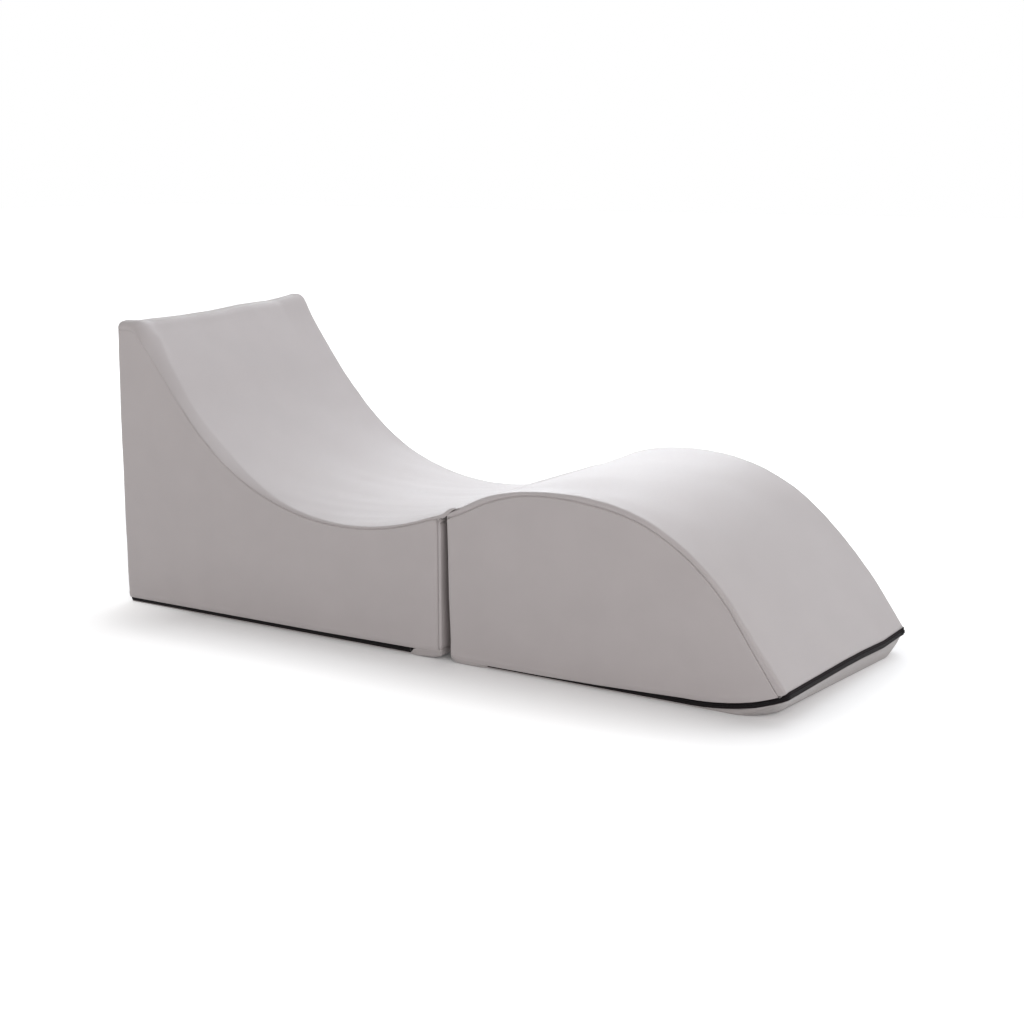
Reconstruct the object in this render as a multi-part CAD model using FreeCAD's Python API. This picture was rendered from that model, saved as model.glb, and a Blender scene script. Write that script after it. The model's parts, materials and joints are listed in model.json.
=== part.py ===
import FreeCAD, Part
import math
import os

# Folding foam lounger: a back block and a leg block, hinged at the top of the fold between them.
# Frame: millimetres, +Z up, +X from the head to the feet, origin at the middle of the footprint.
# The user's left is +Y. Both blocks are cut from one S-shaped line, so the leg block folds over
# the seat and nests in it.

# Overall sizes
WIDTH = 650.0
BACK_LENGTH = 1000.0
LEG_LENGTH = 830.0
BACK_HEIGHT = 733.0
LEDGE_DEPTH = 64.0
FOLD_HEIGHT = 346.0

# How far each block's fold face stands off the hinge's axis
BACK_FOLD_GAP = 16.0
LEG_FOLD_GAP = 3.0

# The S-shaped top: three straight stretches joined by the dip and the hump
BACK_SLOPE_DEG = 54.75
FOLD_RISE_DEG = 20.7
LEG_SLOPE_DEG = 53.5
DIP_RADIUS = 645.0
HUMP_RADIUS = 518.0
TIP_HEIGHT = 61.0

# Roundings of the covered foam
EDGE_RADIUS = 12.0
CORNER_RADIUS = 12.5
LEDGE_RADIUS = 30.0
TIP_UNDER_RADIUS = 46.0

# Materials' thicknesses
COVER = 2.0
LINER = 1.5
COMFORT = 30.0
TAPE = 0.8
TEETH = 1.6

# Seams: how far each panel wraps past the edge
TOP_WRAP = 14.0
FOLD_WRAP = 14.0
SIDE_WRAP = 14.0

# Zip round the base, open at the fold side, where the base panel hangs on
ZIP_HEIGHT = 9.5
ZIP_HALF_BAND = 7.0
ZIP_TIP_HEIGHT = 50.5
ZIP_RISE_START = 610.0
ZIP_END = 103.0
ZIP_INSET = 5.0
HEM_HEIGHT = 12.0
TAPE_OVERLAP = 6.0
TAPE_SPLIT = 0.7
TEETH_REACH = 2.9
CHANNEL_INSET = 8.0

# Zip stops, slider and pull
RUN = 0.3
STOP_LENGTH = 3.6
STOP_START = 0.4
STOP_END = 0.2
STOP_PAST_TEETH = 0.4
SLIDER_GAP = 1.0
WING = 1.0
WING_LENGTH = 13.0
WING_HALF = 4.6
INNER_WING_HALF = 4.0
POST_LENGTH = 3.0
POST_HALF = 0.4
PIN_RADIUS = 0.55
PIN_AHEAD = 1.7
BORE_CLEARANCE = 0.1
EAR_LENGTH = 2.6
EAR_PAST_PIN = 0.6
EYE_RADIUS = 1.3
EYE_HALF = 1.9
NECK_LENGTH = 4.0
NECK_IN_TAB = 0.8
PULL_LENGTH = 24.0
PULL_HALF = 3.5
GRIP_HOLE_START = 10.0
GRIP_HOLE_END = 3.0
GRIP_HOLE_HALF = 1.4

# Fabric hinge over the fold
HINGE_RISE = 9.0
BEAD_RADIUS = 1.8
STRIP = 1.2
BACK_STRIP_REACH = 48.0
BACK_STRIP_LIFT = 28.0
LEG_STRIP_REACH = 34.0
LEG_STRIP_LIFT = 15.0
STRIP_MARGIN = 5.0

FOLD_X = (BACK_LENGTH - LEG_LENGTH) / 2.0
REAR_X = FOLD_X - BACK_LENGTH
TIP_X = FOLD_X + LEG_LENGTH
HALF = WIDTH / 2.0
ZIP_TOP = ZIP_HEIGHT + ZIP_HALF_BAND

# How far cutting shapes run past a block or past everything, and when two places count as one
PAST = 50.0
FAR = 2000.0
SAME = 0.01


def vec(x, z, y=0.0):
    return FreeCAD.Vector(x, y, z)


def heading(degrees):
    angle = math.radians(degrees)
    return vec(math.cos(angle), math.sin(angle))


def shifted(point, direction, inset):
    """A line walked with the foam on its right, moved into the foam by inset."""
    return point + vec(direction.z, -direction.x) * inset, direction


def crossing(first, second):
    """Where two lines, each a point and a direction, meet in the XZ plane."""
    (p, u), (q, w) = first, second
    cross = u.x * w.z - u.z * w.x
    gap = q - p
    return p + u * ((gap.x * w.z - gap.z * w.x) / cross)


def rounded_outline(corners):
    """A closed wire through corners (point, radius), each turned by a tangent arc."""
    count = len(corners)
    starts = []
    arcs = []
    ends = []
    for i in range(count):
        point, radius = corners[i]
        into = (point - corners[i - 1][0]).normalize()
        out = (corners[(i + 1) % count][0] - point).normalize()
        turn = math.acos(max(-1.0, min(1.0, into.dot(out))))
        reach = radius * math.tan(turn / 2.0)
        starts.append(point - into * reach)
        ends.append(point + out * reach)
        if radius > 0.0:
            inward = (out - into).normalize()
            centre = point + inward * (radius / math.cos(turn / 2.0))
            middle = centre - inward * radius
            arcs.append(Part.Arc(starts[i], middle, ends[i]).toShape())
        else:
            arcs.append(None)
    edges = []
    for i in range(count):
        if arcs[i]:
            edges.append(arcs[i])
        edges.append(Part.makeLine(ends[i], starts[(i + 1) % count]))
    return Part.Wire(edges)


def top_lines(top_in):
    """The straight stretches of the S-shaped top, from the ledge to the tip."""
    ledge_front = vec(REAR_X + LEDGE_DEPTH, BACK_HEIGHT)
    fold_top = vec(FOLD_X, FOLD_HEIGHT)
    tip_top = vec(TIP_X, TIP_HEIGHT)
    return {
        "ledge": shifted(vec(REAR_X, BACK_HEIGHT), heading(0.0), top_in),
        "slope": shifted(ledge_front, heading(-BACK_SLOPE_DEG), top_in),
        "seat": shifted(fold_top, heading(FOLD_RISE_DEG), top_in),
        "shin": shifted(tip_top, heading(-LEG_SLOPE_DEG), top_in),
    }


def back_corners(top_in, side_in, bottom_in):
    line = top_lines(top_in)
    rear_x = REAR_X + side_in
    fold_x = FOLD_X - BACK_FOLD_GAP - side_in
    rear = (vec(rear_x, 0.0), heading(90.0))
    face = (vec(fold_x, 0.0), heading(-90.0))
    small = CORNER_RADIUS - top_in
    return [
        (vec(rear_x, bottom_in), 0.0),
        (crossing(rear, line["ledge"]), small),
        (crossing(line["ledge"], line["slope"]), LEDGE_RADIUS - top_in),
        (crossing(line["slope"], line["seat"]), DIP_RADIUS + top_in),
        (crossing(line["seat"], face), small),
        (vec(fold_x, bottom_in), 0.0),
    ]


def leg_corners(top_in, side_in, bottom_in):
    line = top_lines(top_in)
    fold_x = FOLD_X + LEG_FOLD_GAP + side_in
    tip_x = TIP_X - side_in
    face = (vec(fold_x, 0.0), heading(90.0))
    nose = (vec(tip_x, 0.0), heading(-90.0))
    small = CORNER_RADIUS - top_in
    return [
        (vec(fold_x, bottom_in), 0.0),
        (crossing(face, line["seat"]), small),
        (crossing(line["seat"], line["shin"]), HUMP_RADIUS - top_in),
        (crossing(line["shin"], nose), small),
        (vec(tip_x, bottom_in), TIP_UNDER_RADIUS - side_in),
    ]


CORNERS = {"back": back_corners, "leg": leg_corners}


def prism(wire, half_width):
    """The XZ wire as a solid from -half_width to +half_width in Y."""
    face = Part.Face(wire)
    face.translate(FreeCAD.Vector(0.0, -half_width, 0.0))
    return face.extrude(FreeCAD.Vector(0.0, 2.0 * half_width, 0.0))


def polygon_prism(points, half_width=HALF + PAST):
    return prism(Part.makePolygon(points + [points[0]]), half_width)


def block_box(low, high):
    size = [high[i] - low[i] for i in range(3)]
    return Part.makeBox(size[0], size[1], size[2], FreeCAD.Vector(low[0], low[1], low[2]))


def soft_block(block, inset):
    """A block inset all round, its side edges rounded: the cover's surface and those inside it."""
    wire = rounded_outline(CORNERS[block](inset, inset, inset))
    half_width = HALF - inset
    solid = prism(wire, half_width)
    edges = []
    for edge in solid.Edges:
        box = edge.BoundBox
        on_side = box.YLength < SAME and abs(abs(box.YMin) - half_width) < SAME
        if on_side and box.ZMax > inset + SAME:
            edges.append(edge)
    return solid.makeFillet(EDGE_RADIUS - inset, edges)


def low_block(block, side_in, bottom_in):
    """A block for the zip and the base, with plan corners rounded and its lower edges sharp."""
    wire = rounded_outline(CORNERS[block](COVER, side_in, bottom_in))
    half_width = HALF - side_in
    outer_x = REAR_X + side_in if block == "back" else TIP_X - side_in
    radius = EDGE_RADIUS - side_in
    plan = block_box((min(outer_x, FOLD_X), -half_width, -PAST),
                     (max(outer_x, FOLD_X), half_width, BACK_HEIGHT))
    if radius > 0.0:
        edges = []
        for edge in plan.Edges:
            box = edge.BoundBox
            if box.ZLength > SAME and abs(box.XMin - outer_x) < SAME and box.XLength < SAME:
                edges.append(edge)
        plan = plan.makeFillet(radius, edges)
    return prism(wire, half_width).common(plan)


def zip_run_end(block):
    """The X where a zip begins, beside the fold."""
    return FOLD_X - ZIP_END if block == "back" else FOLD_X + ZIP_END


def below_zip(block, offset, step=0.0):
    """Everything under the zip's centre line raised by offset, along the zip's run."""
    start = zip_run_end(block)
    if block == "back":
        left = REAR_X - PAST
        points = [vec(left, -PAST), vec(start + step, -PAST),
                  vec(start + step, ZIP_HEIGHT + offset), vec(left, ZIP_HEIGHT + offset)]
        return polygon_prism(points)
    rise_x = FOLD_X + ZIP_RISE_START
    reach = TIP_X - rise_x
    rise = ZIP_TIP_HEIGHT - ZIP_HEIGHT
    radius = (reach * reach + rise * rise) / (2.0 * rise) - offset
    sweep = math.asin(reach / (radius + offset))
    centre = vec(rise_x, ZIP_HEIGHT + offset + radius)
    rise_end = centre + vec(math.sin(sweep), -math.cos(sweep)) * radius
    middle = centre + vec(math.sin(sweep / 2.0), -math.cos(sweep / 2.0)) * radius
    past = rise_end + vec(math.cos(sweep), math.sin(sweep)) * PAST
    first = vec(start - step, -PAST)
    edges = [
        Part.makeLine(first, vec(start - step, ZIP_HEIGHT + offset)),
        Part.makeLine(vec(start - step, ZIP_HEIGHT + offset), vec(rise_x, ZIP_HEIGHT + offset)),
        Part.Arc(vec(rise_x, ZIP_HEIGHT + offset), middle, rise_end).toShape(),
        Part.makeLine(rise_end, past),
        Part.makeLine(past, vec(past.x, -PAST)),
        Part.makeLine(vec(past.x, -PAST), first),
    ]
    return prism(Part.Wire(edges), HALF + PAST)


def zip_band(block, low, high):
    return below_zip(block, high).cut(below_zip(block, low))


def above_top_line(block, depth):
    """Everything outside the top's surface moved depth into the foam: the top panel's reach."""
    corners = CORNERS[block](depth, depth, 0.0)
    if block == "back":
        path = [(vec(-FAR, BACK_HEIGHT - depth), 0.0), corners[2], corners[3]]
        seat = top_lines(depth)["seat"]
        path.append((crossing(seat, (vec(FOLD_X, 0.0), heading(90.0))), 0.0))
        path.append((vec(FOLD_X, FAR), 0.0))
        path.append((vec(-FAR, FAR), 0.0))
    else:
        seat = top_lines(depth)["seat"]
        shin = top_lines(depth)["shin"]
        path = [(crossing(seat, (vec(FOLD_X, 0.0), heading(90.0))), 0.0), corners[2]]
        path.append((crossing(shin, (vec(0.0, -FAR), heading(0.0))), 0.0))
        path.append((vec(FAR * 2.0, -FAR), 0.0))
        path.append((vec(FAR * 2.0, FAR), 0.0))
        path.append((vec(FOLD_X, FAR), 0.0))
    return prism(rounded_outline(path), HALF + PAST)


def fold_zone(block, depth, low):
    """The slab beside the fold, depth deep, from the height low up."""
    if block == "back":
        return block_box((FOLD_X - BACK_FOLD_GAP - depth, -FAR, low), (FOLD_X, FAR, FAR))
    return block_box((FOLD_X, -FAR, low), (FOLD_X + LEG_FOLD_GAP + depth, FAR, FAR))


def between_sides(inside):
    return block_box((-FAR, -inside, -PAST), (FAR, inside, FAR))


def cover_panels(block):
    """The sewn cover: top, ends, sides and the base that the zip closes."""
    outer = soft_block(block, 0.0)
    inner = soft_block(block, COVER)
    shell = outer.cut(inner)
    start = zip_run_end(block)
    run = below_zip(block, ZIP_HALF_BAND)
    beside_fold = sorted((start, FOLD_X))
    wrap = block_box((beside_fold[0], -FAR, -PAST), (beside_fold[1], FAR, ZIP_TOP))
    tray = low_block(block, ZIP_INSET, 0.0).cut(low_block(block, ZIP_INSET + COVER, COVER))
    tray = tray.common(below_zip(block, -ZIP_HALF_BAND))
    base = tray.fuse(shell.common(wrap)).removeSplitter()
    upper = shell.cut(run).cut(wrap)
    hem = low_block(block, COVER, COVER).cut(low_block(block, ZIP_INSET, COVER))
    hem = hem.common(zip_band(block, ZIP_HALF_BAND, ZIP_HALF_BAND + HEM_HEIGHT)).common(inner)
    top_zone = above_top_line(block, TOP_WRAP)
    hem = hem.cut(top_zone)
    rest = upper.cut(top_zone)
    inside = HALF - EDGE_RADIUS - SIDE_WRAP
    if block == "back":
        face = fold_zone(block, FOLD_WRAP, ZIP_TOP)
    else:
        face = fold_zone(block, EDGE_RADIUS, ZIP_TOP).common(between_sides(inside))
    panels = {
        "top_panel": upper.common(top_zone),
        "fold_panel": rest.common(face),
        "base_panel": base,
    }
    sides = rest.cut(face).fuse(hem)
    if block == "back":
        behind = block_box((-FAR, -FAR, -PAST), (REAR_X + EDGE_RADIUS, FAR, FAR))
        rear = between_sides(inside).common(behind)
        panels["rear_panel"] = sides.common(rear).removeSplitter()
        sides = sides.cut(rear)
    left = block_box((-FAR, 0.0, -PAST), (FAR, FAR, FAR))
    right_panel = sides.cut(left).removeSplitter()
    panels["side_panel_right"] = right_panel
    panels["side_panel_left"] = right_panel.mirror(FreeCAD.Vector(), FreeCAD.Vector(0.0, 1.0, 0.0))
    return panels


def zip_tapes_and_teeth(block):
    """Two tapes and two rows of teeth round the base, with the slider's slot between them."""
    inner = soft_block(block, COVER)
    tape = low_block(block, ZIP_INSET, COVER).cut(low_block(block, ZIP_INSET + TAPE, COVER))
    teeth = low_block(block, ZIP_INSET - TEETH, COVER).cut(low_block(block, ZIP_INSET, COVER))
    start = zip_run_end(block)
    inward = -1.0 if block == "back" else 1.0
    stop_zone = sorted((start + inward * STOP_LENGTH, FOLD_X))
    end_zone = block_box((stop_zone[0], -FAR, -PAST), (stop_zone[1], FAR, FAR))
    upper = zip_band(block, TAPE_SPLIT, ZIP_HALF_BAND + TAPE_OVERLAP)
    lower = zip_band(block, -ZIP_HALF_BAND, -TAPE_SPLIT)
    upper_row = zip_band(block, TAPE_SPLIT, TEETH_REACH)
    lower_row = zip_band(block, -TEETH_REACH, -TAPE_SPLIT)
    return {
        "zip_tape_upper": tape.common(upper).common(inner),
        "zip_tape_lower": tape.common(lower),
        "zip_teeth_upper": teeth.common(upper_row).cut(end_zone),
        "zip_teeth_lower": teeth.common(lower_row).cut(end_zone),
        "zip_end_stops": zip_stops(start, inward),
    }


def zip_stops(start, inward):
    """A crimped stop across both tapes at each end of a zip."""
    x_pair = sorted((start + inward * STOP_START, start + inward * (STOP_LENGTH - STOP_END)))
    half_height = TEETH_REACH + STOP_PAST_TEETH
    stops = []
    for side in (-1.0, 1.0):
        y_pair = sorted((side * (HALF - ZIP_INSET), side * (HALF - ZIP_INSET + TEETH + RUN)))
        stops.append(block_box((x_pair[0], y_pair[0], ZIP_HEIGHT - half_height),
                               (x_pair[1], y_pair[1], ZIP_HEIGHT + half_height)))
    return Part.makeCompound(stops)


def foam_body(block, depth):
    """The foam's outside, depth inside the liner's outside, stepped in behind the zip."""
    step_height = ZIP_HALF_BAND + HEM_HEIGHT + depth
    low_zone = below_zip(block, step_height, depth)
    high = soft_block(block, COVER + depth)
    low = low_block(block, CHANNEL_INSET + depth, COVER + depth)
    return high.cut(low_zone).fuse(low.common(low_zone).common(high)).removeSplitter()


def comfort_zone(block):
    """The slab just under the top where the softer foam lies."""
    depth = COVER + LINER + COMFORT
    line = top_lines(0.0)
    if block == "back":
        start = line["slope"][0] + line["slope"][1] * (COMFORT + LEDGE_RADIUS)
        cut_line = (start, heading(90.0 - BACK_SLOPE_DEG))
        outer = top_lines(-COMFORT)
        inner = top_lines(depth)
        face = (vec(FOLD_X, 0.0), heading(90.0))
        corners = [
            (crossing(cut_line, outer["slope"]), 0.0),
            (crossing(outer["slope"], outer["seat"]), DIP_RADIUS - COMFORT),
            (crossing(outer["seat"], face), 0.0),
            (crossing(inner["seat"], face), 0.0),
            (crossing(inner["slope"], inner["seat"]), DIP_RADIUS + depth),
            (crossing(cut_line, inner["slope"]), 0.0),
        ]
    else:
        end = line["shin"][0] - line["shin"][1] * (2.0 * COMFORT)
        cut_line = (end, heading(90.0 - LEG_SLOPE_DEG))
        outer = top_lines(-COMFORT)
        inner = top_lines(depth)
        face = (vec(FOLD_X, 0.0), heading(90.0))
        corners = [
            (crossing(outer["seat"], face), 0.0),
            (crossing(outer["seat"], outer["shin"]), HUMP_RADIUS + COMFORT),
            (crossing(outer["shin"], cut_line), 0.0),
            (crossing(inner["shin"], cut_line), 0.0),
            (crossing(inner["seat"], inner["shin"]), HUMP_RADIUS - depth),
            (crossing(inner["seat"], face), 0.0),
        ]
    return prism(rounded_outline(corners), HALF + PAST)


def foam_and_liner(block):
    liner_out = foam_body(block, 0.0)
    liner_in = foam_body(block, LINER)
    zone = comfort_zone(block)
    return {
        "inner_liner": liner_out.cut(liner_in),
        "comfort_layer": liner_in.common(zone),
        "foam_core": liner_in.cut(zone),
    }


def cylinder_z(x, y, radius, low, high):
    return Part.makeCylinder(radius, high - low, FreeCAD.Vector(x, y, low), FreeCAD.Vector(0, 0, 1))


def slider_and_pull(block):
    """A slider that straddles the teeth on the left side, and the pull tab pinned to its end."""
    way = -1.0 if block == "back" else 1.0
    start = zip_run_end(block) + way * (STOP_LENGTH + SLIDER_GAP)
    tape_face = HALF - ZIP_INSET
    wing_in = tape_face + TEETH + RUN
    wing_out = wing_in + WING

    def piece(near, far, y_low, y_high, z_low, z_high):
        x_pair = sorted((start + way * near, start + way * far))
        return block_box((x_pair[0], y_low, ZIP_HEIGHT + z_low),
                         (x_pair[1], y_high, ZIP_HEIGHT + z_high))

    outer_wing = piece(0.0, WING_LENGTH, wing_in, wing_out, -WING_HALF, WING_HALF)
    flange_low = TEETH_REACH + RUN
    flanges = [piece(0.0, WING_LENGTH, tape_face + RUN, wing_in, flange_low, WING_HALF),
               piece(0.0, WING_LENGTH, tape_face + RUN, wing_in, -WING_HALF, -flange_low)]
    back_face = tape_face - TAPE - RUN
    inner_wing = piece(0.0, WING_LENGTH - WING, back_face - WING, back_face,
                       -INNER_WING_HALF, INNER_WING_HALF)
    post = piece(0.0, POST_LENGTH, back_face - WING, wing_in, -POST_HALF, POST_HALF)
    pin_x = start + way * (WING_LENGTH + PIN_AHEAD)
    pin_y = wing_out + RUN
    ear_low = EYE_HALF + RUN
    ear_start = WING_LENGTH - WING
    ear_end = WING_LENGTH + EAR_LENGTH
    ear_out = pin_y + EAR_PAST_PIN
    ears = [piece(ear_start, ear_end, wing_in, ear_out, ear_low, WING_HALF),
            piece(ear_start, ear_end, wing_in, ear_out, -WING_HALF, -ear_low)]
    pin = cylinder_z(pin_x, pin_y, PIN_RADIUS, ZIP_HEIGHT - WING_HALF, ZIP_HEIGHT + WING_HALF)
    slider = outer_wing.multiFuse(flanges + [inner_wing, post, pin] + ears).removeSplitter()

    tab_in = pin_y - WING / 2.0
    tab_out = pin_y + WING / 2.0
    pin_reach = WING_LENGTH + PIN_AHEAD
    eye = cylinder_z(pin_x, pin_y, EYE_RADIUS, ZIP_HEIGHT - EYE_HALF, ZIP_HEIGHT + EYE_HALF)
    neck = piece(pin_reach, pin_reach + NECK_LENGTH, tab_in, tab_out, -EYE_HALF, EYE_HALF)
    tab = piece(pin_reach + NECK_LENGTH - NECK_IN_TAB, pin_reach + PULL_LENGTH, tab_in, tab_out,
                -PULL_HALF, PULL_HALF)
    grip_hole = piece(pin_reach + GRIP_HOLE_START, pin_reach + PULL_LENGTH - GRIP_HOLE_END,
                      tab_in - WING, tab_out + WING, -GRIP_HOLE_HALF, GRIP_HOLE_HALF)
    bore = cylinder_z(pin_x, pin_y, PIN_RADIUS + BORE_CLEARANCE,
                      ZIP_HEIGHT - WING_HALF, ZIP_HEIGHT + WING_HALF)
    pull = eye.multiFuse([neck, tab]).cut(grip_hole).cut(bore).removeSplitter()
    print(block, "slider from x", round(start, 1), "pin at", round(pin_x, 2), round(pin_y, 2),
          "pull reaches x", round(pin_x + way * PULL_LENGTH, 1))
    return {"zip_slider": slider, "zip_pull": pull}


def fabric_hinge():
    """Two strips sewn to the blocks' top edges, meeting in a stitched bead on the fold's axis."""
    pivot = vec(FOLD_X, FOLD_HEIGHT + HINGE_RISE)
    seat = top_lines(0.0)["seat"]
    along = seat[1]
    up = vec(-along.z, along.x)
    half_width = HALF - STRIP_MARGIN - EDGE_RADIUS
    strips = {}
    for name, side, strip_reach, strip_lift in (
            ("hinge_strip_back", -1.0, BACK_STRIP_REACH, BACK_STRIP_LIFT),
            ("hinge_strip_leg", 1.0, LEG_STRIP_REACH, LEG_STRIP_LIFT)):
        far = seat[0] + along * (side * strip_reach)
        lift = seat[0] + along * (side * strip_lift)
        touch = pivot + heading(-90.0 + side * 45.0) * BEAD_RADIUS
        rise = (touch - (lift + up * STRIP)).normalize()
        across = vec(-rise.z, rise.x) * (STRIP / 2.0)
        above = touch + across if across.z > 0.0 else touch - across
        below = touch - across if across.z > 0.0 else touch + across
        points = [far, lift, below, above, lift + up * STRIP, far + up * STRIP]
        strips[name] = polygon_prism(points, half_width)
    bead, clearance = [Part.makeCylinder(radius, 2.0 * half_width,
                                         FreeCAD.Vector(FOLD_X, -half_width, pivot.z),
                                         FreeCAD.Vector(0, 1, 0))
                       for radius in (BEAD_RADIUS, BEAD_RADIUS + RUN)]
    strips["hinge_seam_bead"] = bead
    strips["hinge_strip_back"] = strips["hinge_strip_back"].cut(bead)
    strips["hinge_strip_leg"] = strips["hinge_strip_leg"].cut(clearance)
    return strips


def build():
    nodes = {}
    for block in ("back", "leg"):
        groups = [cover_panels(block), zip_tapes_and_teeth(block), foam_and_liner(block),
                  slider_and_pull(block)]
        for group in groups:
            for name, shape in group.items():
                nodes[block + "_" + name] = shape
    nodes.update(fabric_hinge())
    return nodes


def main():
    os.makedirs("parts", exist_ok=True)
    nodes = build()
    for name, shape in nodes.items():
        solids = shape.Solids
        box = shape.BoundBox
        print(name, "solids", len(solids), "valid", shape.isValid(), "volume", round(shape.Volume),
              "x", round(box.XMin, 1), round(box.XMax, 1), "y", round(box.YMin, 1),
              round(box.YMax, 1), "z", round(box.ZMin, 1), round(box.ZMax, 1))
        whole = solids[0] if len(solids) == 1 else Part.makeCompound(solids)
        whole.exportStep("parts/" + name + ".step")
    print("fold axis at x", FOLD_X, "z", FOLD_HEIGHT + HINGE_RISE)


main()
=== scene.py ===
import json
import math

import bmesh
import bpy
import numpy as np
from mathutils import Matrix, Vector, noise


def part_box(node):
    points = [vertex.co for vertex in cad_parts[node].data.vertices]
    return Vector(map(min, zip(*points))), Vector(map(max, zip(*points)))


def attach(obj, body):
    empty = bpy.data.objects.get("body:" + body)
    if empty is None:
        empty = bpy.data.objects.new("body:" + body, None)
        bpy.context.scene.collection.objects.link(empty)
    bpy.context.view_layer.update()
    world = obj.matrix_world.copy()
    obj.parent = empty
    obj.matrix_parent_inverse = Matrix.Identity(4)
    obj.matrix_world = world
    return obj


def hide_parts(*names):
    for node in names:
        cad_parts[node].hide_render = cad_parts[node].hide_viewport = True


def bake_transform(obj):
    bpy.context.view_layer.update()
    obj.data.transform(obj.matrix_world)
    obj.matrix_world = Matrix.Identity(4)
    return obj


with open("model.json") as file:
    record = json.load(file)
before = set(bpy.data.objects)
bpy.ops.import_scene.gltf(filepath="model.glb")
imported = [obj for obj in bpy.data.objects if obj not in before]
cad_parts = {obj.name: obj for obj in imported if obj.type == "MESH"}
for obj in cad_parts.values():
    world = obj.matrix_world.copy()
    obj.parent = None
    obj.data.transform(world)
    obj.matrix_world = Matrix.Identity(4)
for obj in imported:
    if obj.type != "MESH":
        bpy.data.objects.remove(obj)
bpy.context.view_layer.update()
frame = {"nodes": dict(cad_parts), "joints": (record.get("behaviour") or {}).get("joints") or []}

# Sizes read from the frame, in metres. The filled cover stands proud of the solid at the rear
REAR_FILL = 0.004
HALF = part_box("back_top_panel")[1].y
REAR_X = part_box("back_rear_panel")[0].x - REAR_FILL
BACK_FOLD_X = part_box("back_fold_panel")[1].x
LEG_FOLD_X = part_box("leg_fold_panel")[0].x
TIP_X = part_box("leg_top_panel")[1].x
TOP_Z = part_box("back_top_panel")[1].z
PIVOT = [Vector(joint["pos_m"]) for joint in frame["joints"] if joint["name"] == "fold_hinge"][0]
FOLD_X = PIVOT.x
QUARTER = math.pi / 2.0

# The S-shaped top, as in the solids
LEDGE_DEPTH = 0.064
FOLD_HEIGHT = 0.346
TIP_HEIGHT = 0.061
SLOPE_DEG = -54.75
SEAT_DEG = 20.7
SHIN_DEG = -53.5
LEDGE_RADIUS = 0.030
DIP_RADIUS = 0.645
HUMP_RADIUS = 0.518

# How the cover is drawn round the foam
END_RADIUS = 0.012
REAR_TOP_RADIUS = 0.014
FOLD_TOP_RADIUS = 0.008
TIP_TOP_RADIUS = 0.005
LEAST_RADIUS = 1e-5
SIDE_WRAP = 0.014
SEAM_Y = HALF - END_RADIUS - SIDE_WRAP
FOLD_CORNER = {"back": 0.004, "leg": 0.007}
FOLD_WRAP = 0.0083
REAR_DROP = 0.022
FOLD_DROP = 0.017
TIP_DROP = 0.0022
MERGE_DISTANCE = 1e-6
CLOTH = 0.0016
TAPE_CLOTH = 0.0008
HINGE_CLOTH = 0.0020
SEAM_SINK = 0.0024
SEAM_REACH = 0.0016
SEAM_STEPS = np.array([0.0, 0.0005, 0.0010, 0.0016, 0.0024, 0.0034, 0.0048])
SEAM_CLOSED = 0.0006
TUCK = 0.0045
PAST_ROUNDING = 0.0005
HEM_LINE = 0.010
HEM_WIDTH = 0.0035

# The rear ridge isn't level: its height over the solids' at places across the block
RIDGE_Y = (-0.325, -0.300, -0.260, -0.210, -0.110, 0.0, 0.110, 0.220, 0.315)
RIDGE_RISE = (-0.016, -0.012, -0.0155, -0.014, -0.0135, -0.0095, -0.001, 0.002, 0.016)
RIDGE_START = 0.56
REAR_CORNER_DROP = 0.006

# The long edges aren't quite true either: how far each stands above the S-shaped line
BACK_FAR_X = (-0.82, -0.74, -0.67, -0.59, -0.50)
BACK_FAR_RISE = (0.0, 0.008, 0.012, 0.006, 0.0)
BACK_NEAR_X = (-0.03, 0.03, 0.053, 0.068, 0.085)
BACK_NEAR_RISE = (0.0, -0.001, -0.0045, -0.006, -0.0072)
LEG_NEAR_X = (0.085, 0.10, 0.125, 0.15, 0.17, 0.19, 0.24, 0.31, 0.37, 0.44, 0.50, 0.58, 0.70)
LEG_NEAR_RISE = (-0.0072, -0.006, -0.003, 0.001, 0.0035, 0.004, 0.0, -0.006, -0.0085, -0.0075,
                 -0.005, -0.001, 0.0)
LEG_FAR_X = (0.085, 0.14, 0.20, 0.26, 0.33, 0.42, 0.55, 0.64, 0.69, 0.735, 0.775, 0.82, 0.87, 0.915)
LEG_FAR_RISE = (0.0, 0.006, 0.012, 0.0093, 0.0043, 0.0013, 0.0003, -0.003, -0.008, -0.011, -0.011,
                -0.003, 0.003, 0.0)
LIFT_START = 0.05
LIFT_RUN = 0.15

# The filled cover swells: the sides outward and the rear backward
SIDE_SWELL = 0.0030
REAR_SWELL = 0.0045
REAR_SWELL_REACH = 0.04

# The leg's fold face leans towards the back: how far along X at each height
LEAN_Z = (0.0, 0.05, 0.15, 0.26, 0.33)
LEAN = (0.0035, 0.0033, 0.0013, -0.0007, -0.0042)
LEAN_REACH = 0.05

# The lower edges at the fold are rounded up off the floor
FOLD_FOOT = {"back": ((-0.02, 0.009, 0.037, 0.055, 0.065, 0.069), (0.0, 0.001, 0.0025, 0.005, 0.008, 0.011)),
             "leg": ((0.088, 0.090, 0.094, 0.100, 0.108, 0.125), (0.019, 0.013, 0.008, 0.004, 0.001, 0.0))}
FOOT_TOP = 0.07

# How many points a block's plan outline has along its sides and ends, and in each corner
SIDE_POINTS = 90
END_POINTS = 50
END_FACETS = 16
FOLD_FACETS = 8

# Level direction in which the seat's creases run, and where along it they gather
WRINKLE_WAY = (0.836, 0.548)
DIP_X = -0.20
DIP_REACH = 0.22

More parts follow.
